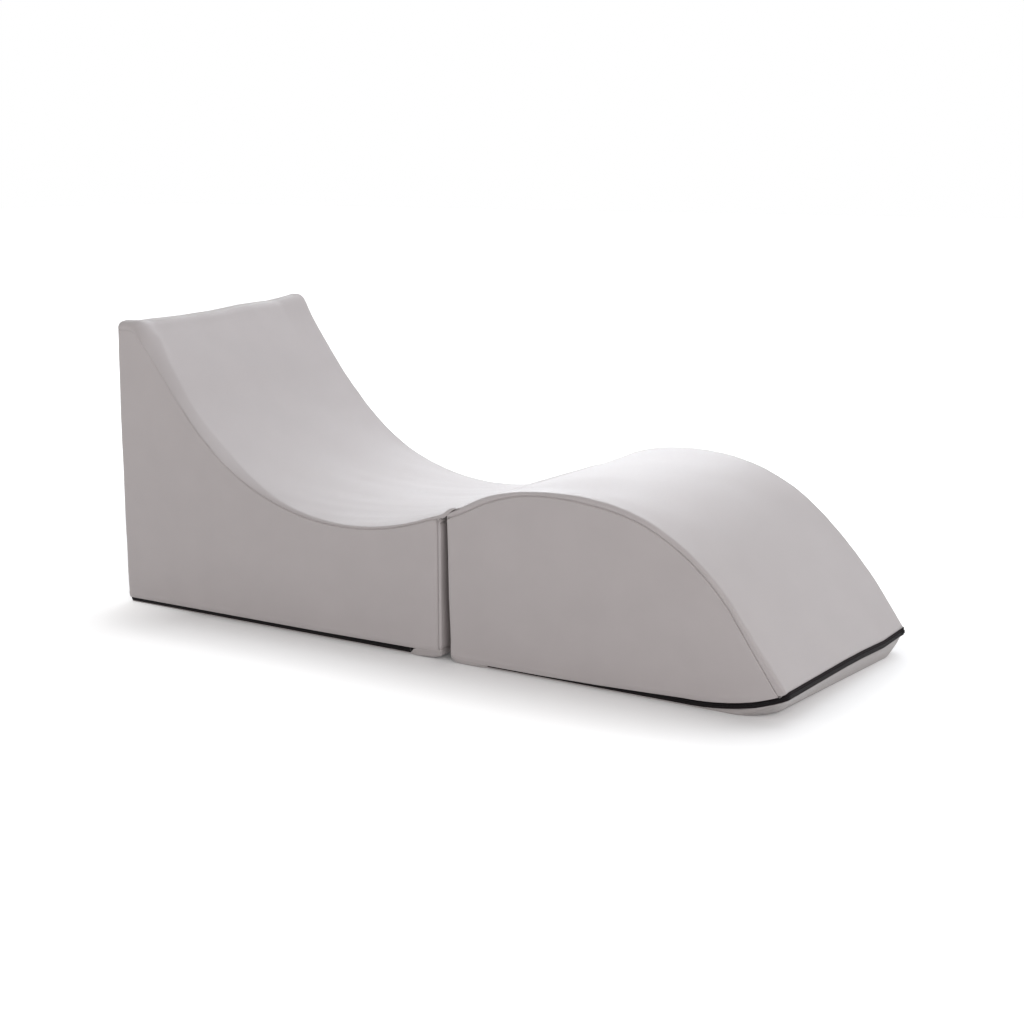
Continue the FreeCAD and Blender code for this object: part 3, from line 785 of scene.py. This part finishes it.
def zip_path(block, pitch):
    """Evenly spaced points along the zip, from its end on the right to its end on the left."""
    if block == "back":
        start_x, end_x = FOLD_X - ZIP_END, REAR_X + ZIP_INSET
    else:
        start_x, end_x = FOLD_X + ZIP_END, TIP_X - ZIP_TIP_INSET
    y = -HALF + ZIP_INSET
    near = corner_plan((start_x, y), (end_x, y), (end_x, 0.0), ZIP_CORNER[block], 0.02, 0.02, 24)
    path = np.concatenate([near, near[::-1][1:] * np.array([1.0, -1.0])])
    length = np.concatenate([[0.0], np.cumsum(np.linalg.norm(np.diff(path, axis=0), axis=1))])
    places = np.arange(0.0, length[-1], pitch)
    even = np.stack([np.interp(places, length, path[:, k]) for k in (0, 1)], -1)
    outward = path_normals(even)
    if block == "back":
        return even, -outward
    corner = np.array([TIP_X, HALF])
    past = np.exp(-(np.linalg.norm(even - corner, axis=1) / 0.013) ** 2)
    return even + outward * (past * ZIP_BULGE)[:, None], outward


def tape_grid(block, low, high):
    even, outward = zip_path(block, 0.006)
    z = zip_height(block, even[:, 0])
    slim = 1.0 - 0.25 * np.clip((even[:, 0] - TIP_X + 0.05) / 0.03, 0.0, 1.0)
    rows = []
    for share in (0.0, 0.33, 0.66, 1.0):
        step = low * (1.0 - share) + high * share
        height = z + (step * slim if step < 0.0 else step)
        rows.append(inset_row(even, outward, height, 0.0))
    points = lift(block, np.array(rows))
    return points[:, ::-1] if block == "back" else points


def teeth_mesh(name, block, low, high, phase):
    """A row of moulded teeth, each a small tapered block across the zip's middle."""
    even, outward = zip_path(block, TOOTH_PITCH)
    even, outward = even[2:-2], outward[2:-2]
    along = np.gradient(even, axis=0)
    along /= np.linalg.norm(along, axis=1, keepdims=True)
    z = zip_height(block, even[:, 0])
    verts = []
    faces = []
    for p, n, a, height in zip(even, outward, along, z):
        centre = p + a * phase * TOOTH_PITCH
        base = len(verts)
        for depth, spread in ((0.0, 0.42), (0.0011, 0.40), (0.0016, 0.28)):
            for step, level in ((-1.0, low), (1.0, low), (1.0, high), (-1.0, high)):
                inner = 0.00015 if depth > 0.0015 else 0.0
                edge = level + (inner if level == low else -inner)
                xy = centre + n * depth + a * step * spread * TOOTH_PITCH
                verts.append((xy[0], xy[1], height + edge))
        faces.extend(ring_faces(3, 4, base))
        faces.append((base + 3, base + 2, base + 1, base))
        faces.append((base + 8, base + 9, base + 10, base + 11))
    mesh = bpy.data.meshes.new(name)
    mesh.from_pydata(lift(block, np.array(verts)).tolist(), [], faces)
    clean_mesh(mesh, False, True)
    return add_object(name, mesh)


def hinge_grid():
    """One ribbon of doubled cloth from the back block's top, over the bead, to the leg block's."""
    along = heading(SEAT_DEG)
    up = np.array([-along[1], along[0]])
    seat = np.array([FOLD_X, FOLD_HEIGHT])
    stations = ((-0.048, 0.0004), (-0.038, 0.0012), (-0.028, 0.0018), (-0.018, 0.0022), (-0.010, 0.0028),
                (-0.004, 0.0044), (0.002, 0.0066), (0.008, 0.0080), (0.016, 0.0080), (0.024, 0.0060),
                (0.031, 0.0026), (0.040, 0.0004))
    knots = np.array([seat + along * run + up * rise for run, rise in stations])
    length = np.concatenate([[0.0], np.cumsum(np.linalg.norm(np.diff(knots, axis=0), axis=1))])
    fine = np.linspace(0.0, length[-1], 48)
    path = np.stack([np.interp(fine, length, knots[:, k]) for k in (0, 1)], -1)
    for _ in range(3):
        path[1:-1] = path[:-2] * 0.25 + path[1:-1] * 0.5 + path[2:] * 0.25
    middle = np.linspace(-1.0, 1.0, 104) * (HALF - 0.012)
    turned = np.array([0.009, 0.006, 0.004, 0.0025, 0.0015, 0.0010, 0.0010])
    droop = np.array([0.0002, 0.0010, 0.0024, 0.0048, 0.0080, 0.0112, 0.0145])
    ys = np.concatenate([-(HALF - turned[::-1]), middle, HALF - turned])
    drop = np.concatenate([droop[::-1], np.zeros(len(middle)), droop])
    hump = np.exp(-((path[:, 0] - FOLD_X) / 0.020) ** 2)
    rows = []
    for y, down in zip(ys, drop):
        rows.append(np.stack([path[:, 0], np.full(len(path), y), path[:, 1] - down * hump], -1))
    points = np.array(rows)
    ripple = pucker(points, 71.0, 30.0) * 0.0009
    points[:, :, 2] += ripple * hump
    back = lift("back", points)
    leg = lift("leg", points)
    lean = leg[:, :, 0] - points[:, :, 0]
    back[:, :, 0] += lean * np.clip((points[:, :, 0] - FOLD_X) / 0.03 + 1.0, 0.0, 1.0)
    return np.where(points[:, :, :1] < FOLD_X, back, leg)


def inner_block(name, block, inset, radius, top_only=None):
    """A plain foam or liner body inside the cover, with its edges rounded."""
    levels = []
    reach = FOAM_NEAR_REACH if block == "back" else radius
    for angle in np.radians((90.0, 60.0, 30.0, 0.0)):
        levels.append((HALF - inset - reach * (1.0 - math.sin(angle)), radius * (1.0 - math.cos(angle))))
    flat = [(share * (HALF - inset - reach), 0.0) for share in np.linspace(-1.0, 1.0, 15)[1:-1]]
    rings = [(-y, d) for y, d in levels] + flat + [(y, d) for y, d in reversed(levels)]
    verts = []
    count = None
    drop = (0.02, 0.02 if block == "back" else 0.004)
    for y, d in rings:
        path = top_section(block, inset + d, inset + d, *drop)
        if top_only is None:
            foot_in, low = (0.0, 0.030) if block == "back" else (0.03, 0.024)
            foot = np.array([[path[-1, 0] - foot_in, low], [path[0, 0], low]])
            path = np.concatenate([path, foot])
        else:
            start, end = top_only
            if count is None:
                chosen = (path[:, 0] > start) & (path[:, 0] < end)
            under = top_section(block, inset + COMFORT_DEPTH - d, inset + d, *drop)
            path = np.concatenate([path[chosen], under[chosen][::-1]])
        count = len(path)
        verts.extend((p[0], y, p[1]) for p in path)
    faces = ring_faces(len(rings), count)
    faces.append(tuple(range(count))[::-1])
    faces.append(tuple((len(rings) - 1) * count + k for k in range(count)))
    verts = lift(block, np.array(verts)).tolist()
    mesh = bpy.data.meshes.new(name)
    mesh.from_pydata(verts, [], faces)
    clean_mesh(mesh, True, True)
    return add_object(name, mesh)


# Materials

def new_material(name):
    material = bpy.data.materials.new(name)
    material.use_nodes = True
    nodes = material.node_tree.nodes
    return material, nodes, material.node_tree.links, nodes["Principled BSDF"]


def math_node(nodes, links, operation, *values):
    """A maths node's result, from outputs that are linked in and plain numbers that are set."""
    node = nodes.new("ShaderNodeMath")
    node.operation = operation
    for socket, value in zip(node.inputs, values):
        if isinstance(value, float):
            socket.default_value = value
        else:
            links.new(value, socket)
    return node.outputs["Value"]


def noise_texture(nodes, links, place, scale, detail):
    texture = nodes.new("ShaderNodeTexNoise")
    texture.inputs["Scale"].default_value = scale
    texture.inputs["Detail"].default_value = detail
    links.new(place, texture.inputs["Vector"])
    return texture.outputs["Fac"]


def tone_ramp(nodes, links, value, shader, colour, darkest, span):
    """The base colour, a little darker where the noise is low."""
    ramp = nodes.new("ShaderNodeValToRGB")
    low, high = ramp.color_ramp.elements
    low.position, high.position = span
    low.color = (*[c * darkest for c in colour], 1.0)
    high.color = (*colour, 1.0)
    links.new(value, ramp.inputs["Fac"])
    links.new(ramp.outputs["Color"], shader.inputs["Base Color"])


def raise_grain(nodes, links, height, shader, strength, distance):
    bump = nodes.new("ShaderNodeBump")
    bump.inputs["Strength"].default_value = strength
    bump.inputs["Distance"].default_value = distance
    links.new(height, bump.inputs["Height"])
    links.new(bump.outputs["Normal"], shader.inputs["Normal"])


def cover_cloth(name, colour, rough):
    """A satin, finely woven coated cloth with slight changes of tone."""
    material, nodes, links, shader = new_material(name)
    place = nodes.new("ShaderNodeTexCoord").outputs
    tone = noise_texture(nodes, links, place["Object"], 9.0, 5.0)
    tone_ramp(nodes, links, tone, shader, colour, 0.965, (0.35, 0.65))
    threads = []
    for direction in ("X", "Y"):
        wave = nodes.new("ShaderNodeTexWave")
        wave.bands_direction = direction
        wave.inputs["Scale"].default_value = 330.0
        wave.inputs["Distortion"].default_value = 0.6
        wave.inputs["Detail"].default_value = 1.0
        links.new(place["UV"], wave.inputs["Vector"])
        threads.append(wave.outputs["Fac"])
    weave = math_node(nodes, links, "ADD", *threads)
    grain = noise_texture(nodes, links, place["Object"], 420.0, 3.0)
    slub = math_node(nodes, links, "MULTIPLY_ADD", grain, 0.9, weave)
    raise_grain(nodes, links, slub, shader, 0.25, 0.00025)
    shine = nodes.new("ShaderNodeMapRange")
    shine.inputs["To Min"].default_value = rough - 0.05
    shine.inputs["To Max"].default_value = rough + 0.06
    links.new(tone, shine.inputs["Value"])
    links.new(shine.outputs["Result"], shader.inputs["Roughness"])
    shader.inputs["Sheen Weight"].default_value = 0.45
    shader.inputs["Sheen Roughness"].default_value = 0.30
    shader.inputs["Specular IOR Level"].default_value = 0.5
    return material


def grained(name, colour, rough, scale, depth, specular=0.5):
    """Tape, plastic, paint, nonwoven or open-celled foam, by the scale and depth of its grain."""
    material, nodes, links, shader = new_material(name)
    place = nodes.new("ShaderNodeTexCoord").outputs["Object"]
    grain = noise_texture(nodes, links, place, scale, 4.0)
    tone_ramp(nodes, links, grain, shader, colour, 0.8, (0.3, 0.7))
    raise_grain(nodes, links, grain, shader, 0.5, depth)
    shader.inputs["Roughness"].default_value = rough
    shader.inputs["Specular IOR Level"].default_value = specular
    return material


COVER = cover_cloth("cover_cloth", (0.525, 0.484, 0.482), 0.40)
# The base panel is the cover's own cloth again, its colour darkened as painted shade for its place low by
# the floor
SHADE_PAINTED_BASE_CLOTH = cover_cloth("base_cloth_painted_shade", (0.462, 0.427, 0.422), 0.44)
TAPE = grained("zip_tape_weave", (0.013, 0.009, 0.0105), 0.80, 900.0, 0.0002, 0.15)
TEETH = grained("zip_teeth_plastic", (0.010, 0.008, 0.009), 0.45, 400.0, 0.00005, 0.25)
METAL = grained("zip_metal_paint", (0.020, 0.019, 0.021), 0.38, 300.0, 0.00005)
LINER = grained("liner_nonwoven", (0.80, 0.78, 0.74), 0.85, 350.0, 0.0003)
SOFT_FOAM = grained("soft_foam_cells", (0.84, 0.78, 0.58), 0.95, 500.0, 0.0006)
FIRM_FOAM = grained("firm_foam_cells", (0.56, 0.60, 0.64), 0.95, 500.0, 0.0006)


def dress(piece, material, slot, body, *nodes):
    piece.data.materials.clear()
    piece.data.materials.append(material)
    if body:
        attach(piece, body)
    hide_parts(*nodes)
    return piece


def cover_block(block):
    body = block + "_block"
    grids = {"top_panel": top_grid(block), "fold_panel": fold_grid(block), "base_panel": base_grid(block)}
    grids["side_panel_right"] = side_grid(block, -1.0)
    grids["side_panel_left"] = side_grid(block, 1.0)
    if block == "back":
        grids["rear_panel"] = flat_panel(REAR_X, TOP_Z - REAR_DROP)
    for name, points in grids.items():
        piece = grid_mesh(block + "_" + name + "_cloth", points, CLOTH, name == "base_panel")
        # The base panel takes the cover cloth with its colour darkened as painted shade
        material, slot = (SHADE_PAINTED_BASE_CLOTH, "base_fabric") if name == "base_panel" else (COVER, "cover_fabric")
        dress(piece, material, slot, body, block + "_" + name)
    bands = {"zip_tape_upper": (0.0, ZIP_HALF + TAPE_UNDER_COVER),
             "zip_tape_lower": (-ZIP_HALF - TAPE_UNDER_BASE, 0.0)}
    for name, (low, high) in bands.items():
        points = tape_grid(block, low, high)
        piece = grid_mesh(block + "_" + name + "_cloth", points, TAPE_CLOTH)
        dress(piece, TAPE, "zip_tape", body, block + "_" + name)
    rows = {"zip_teeth_upper": (TOOTH_GAP, TOOTH_END, TOOTH_SHIFT),
            "zip_teeth_lower": (-TOOTH_END, -TOOTH_GAP, -TOOTH_SHIFT)}
    for name, (low, high, phase) in rows.items():
        piece = teeth_mesh(block + "_" + name + "_row", block, low, high, phase)
        dress(piece, TEETH, "zip_teeth", body, block + "_" + name)
    for name in ("zip_end_stops", "zip_slider", "zip_pull"):
        node = frame["nodes"][block + "_" + name]
        node.data.materials.clear()
        node.data.materials.append(METAL)
    liner = inner_block(block + "_inner_liner_cloth", block, LINER_IN, LINER_RADIUS)
    dress(liner, LINER, "liner_cloth", body, block + "_inner_liner")
    foam = inner_block(block + "_foam_core_block", block, CORE_IN, FOAM_RADIUS)
    dress(foam, FIRM_FOAM, "firm_foam", body, block + "_foam_core")
    reach = (REAR_X + LEDGE_DEPTH + 0.04, BACK_FOLD_X) if block == "back" else (LEG_FOLD_X, TIP_X - 0.06)
    soft = inner_block(block + "_comfort_layer_sheet", block, COMFORT_IN, FOAM_RADIUS, reach)
    dress(soft, SOFT_FOAM, "soft_foam", body, block + "_comfort_layer")


cover_block("back")
cover_block("leg")

hinge_points = hinge_grid()
hinge = grid_mesh("fold_hinge_cloth", hinge_points, HINGE_CLOTH)
dress(hinge, COVER, "cover_fabric", None, "hinge_strip_back", "hinge_strip_leg", "hinge_seam_bead")
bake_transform(hinge)


# Floor, light and camera. The floor's own glow, for the camera and reflections alone, grows with the
# distance from the blocks, so that the floor is white beyond their shadow; near them it stays low, painted
# shadow that darkens and tightens their real one
GLOW_CENTRE = (0.08, 0.0, 0.0)
GLOW_HALF = (0.74, 0.325, 10.0)
GLOW_REACH = 3.0
FLOOR_HALF = 30.0
FLOOR_GAP = 0.0005
# Glow levels by distance from the blocks: the low ones within about 0.3 m are painted shadow, the high ones
# far off a white floor
GLOW_AND_PAINTED_SHADOW_STOPS = ((0.0, 0.05), (0.07, 0.16), (0.123, 0.25), (0.19, 0.35), (0.245, 0.45), (0.30, 0.50),
              (0.8, 0.50), (GLOW_REACH, 1.0))


def rays_seen(nodes, links, *kinds):
    """1 for rays of the named kinds, 0 for any other."""
    path = nodes.new("ShaderNodeLightPath")
    seen = path.outputs[kinds[0]]
    for kind in kinds[1:]:
        seen = math_node(nodes, links, "MAXIMUM", seen, path.outputs[kind])
    return seen


def make_floor():
    mesh = bpy.data.meshes.new("floor")
    square = ((-1.0, -1.0), (1.0, -1.0), (1.0, 1.0), (-1.0, 1.0))
    mesh.from_pydata([(x * FLOOR_HALF, y * FLOOR_HALF, 0.0) for x, y in square], [], [(0, 1, 2, 3)])
    floor = add_object("floor", mesh)
    floor.location.z = -FLOOR_GAP
    material, nodes, links, shader = new_material("floor_white_painted_shadow")
    shader.inputs["Base Color"].default_value = (0.93, 0.93, 0.93, 1.0)
    shader.inputs["Roughness"].default_value = 0.6
    shader.inputs["Specular IOR Level"].default_value = 0.2
    glow = nodes.new("ShaderNodeEmission")
    away = nodes.new("ShaderNodeNewGeometry").outputs["Position"]
    for operation, value in (("SUBTRACT", GLOW_CENTRE), ("ABSOLUTE", None), ("SUBTRACT", GLOW_HALF),
                             ("MAXIMUM", (0.0, 0.0, 0.0)), ("LENGTH", None)):
        step = nodes.new("ShaderNodeVectorMath")
        step.operation = operation
        if value:
            step.inputs[1].default_value = value
        links.new(away, step.inputs[0])
        away = step.outputs["Value" if operation == "LENGTH" else "Vector"]
    share = nodes.new("ShaderNodeMapRange")
    share.inputs["From Max"].default_value = GLOW_REACH
    links.new(away, share.inputs["Value"])
    # The ramp keeps the glow low beside the blocks, painting shadow there
    ramp = nodes.new("ShaderNodeValToRGB")
    stops = ramp.color_ramp.elements
    for _ in GLOW_AND_PAINTED_SHADOW_STOPS[2:]:
        stops.new(0.5)
    for stop, (place, level) in zip(stops, GLOW_AND_PAINTED_SHADOW_STOPS):
        stop.position = place / GLOW_REACH
        stop.color = (level, level, level, 1.0)
    links.new(share.outputs["Result"], ramp.inputs["Fac"])
    seen = rays_seen(nodes, links, "Is Camera Ray", "Is Glossy Ray")
    links.new(math_node(nodes, links, "MULTIPLY", seen, ramp.outputs["Color"]), glow.inputs["Strength"])
    both = nodes.new("ShaderNodeAddShader")
    links.new(shader.outputs["BSDF"], both.inputs[0])
    links.new(glow.outputs["Emission"], both.inputs[1])
    links.new(both.outputs["Shader"], nodes["Material Output"].inputs["Surface"])
    mesh.materials.append(material)


# How strongly the world lights the scene, and how bright it looks itself
WORLD_LIGHT = 0.28
BACKDROP_LIGHT = 1.0


def make_world():
    world = bpy.data.worlds.new("studio")
    bpy.context.scene.world = world
    world.use_nodes = True
    nodes, links = world.node_tree.nodes, world.node_tree.links
    mix = nodes.new("ShaderNodeMixShader")
    seen = rays_seen(nodes, links, "Is Camera Ray", "Is Glossy Ray", "Is Transmission Ray")
    links.new(seen, mix.inputs["Fac"])
    backdrop = nodes.new("ShaderNodeBackground")
    for place, white, strength in ((1, nodes["Background"], WORLD_LIGHT), (2, backdrop, BACKDROP_LIGHT)):
        white.inputs["Color"].default_value = (1.0, 1.0, 1.0, 1.0)
        white.inputs["Strength"].default_value = strength
        links.new(white.outputs["Background"], mix.inputs[place])
    links.new(mix.outputs["Shader"], nodes["World Output"].inputs["Surface"])


COOL = (0.935, 0.957, 1.0)
WARM = (1.0, 0.97, 0.965)
# Each lamp's name, place, the point it faces, its size in metres, its power in watts and its colour
LAMPS = (("overhead", (0.6, 1.8, 3.4), (0.0, 0.0, 0.2), 3.0, 46.0, COOL),
         ("behind", (-1.3, 3.6, 1.1), (0.1, 0.0, 0.3), 2.6, 35.0, COOL),
         ("behind_high", (-2.0, 3.5, 2.4), (-0.3, 0.0, 0.25), 2.6, 33.0, COOL),
         ("far_right", (2.4, 3.0, 1.6), (0.1, 0.0, 0.3), 2.5, 17.0, COOL),
         ("front_left", (-2.2, -3.2, 1.8), (-0.2, 0.0, 0.3), 2.5, 25.0, WARM),
         ("front_right", (3.2, -2.4, 2.0), (0.2, 0.0, 0.3), 2.5, 46.0, WARM))


def area_light(name, place, target, size, energy, colour):
    data = bpy.data.lights.new(name, "AREA")
    data.size = size
    data.energy = energy
    data.color = colour
    lamp = add_object(name, data)
    lamp.visible_camera = False
    lamp.location = place
    lamp.rotation_euler = (Vector(target) - Vector(place)).to_track_quat("-Z", "Y").to_euler()


# The camera that took the photo, from the block's corners in it
CAMERA_PLACE = (2.292, -3.424, 1.111)
CAMERA_YAW = 33.25
CAMERA_PITCH = 11.40
SENSOR_MM = 36.0
LENS_PER_SENSOR = 1744.0 / 1024.0


def make_camera():
    yaw = math.radians(CAMERA_YAW)
    pitch = math.radians(CAMERA_PITCH)
    data = bpy.data.cameras.new("camera")
    data.sensor_width = SENSOR_MM
    data.lens = LENS_PER_SENSOR * SENSOR_MM
    camera = add_object("camera", data)
    camera.location = CAMERA_PLACE
    look = Vector((-math.sin(yaw) * math.cos(pitch), math.cos(yaw) * math.cos(pitch), -math.sin(pitch)))
    camera.rotation_euler = look.to_track_quat("-Z", "Y").to_euler()
    bpy.context.scene.camera = camera


make_floor()
make_world()
for lamp in LAMPS:
    area_light(*lamp)
make_camera()
bpy.context.scene.view_settings.view_transform = "Standard"
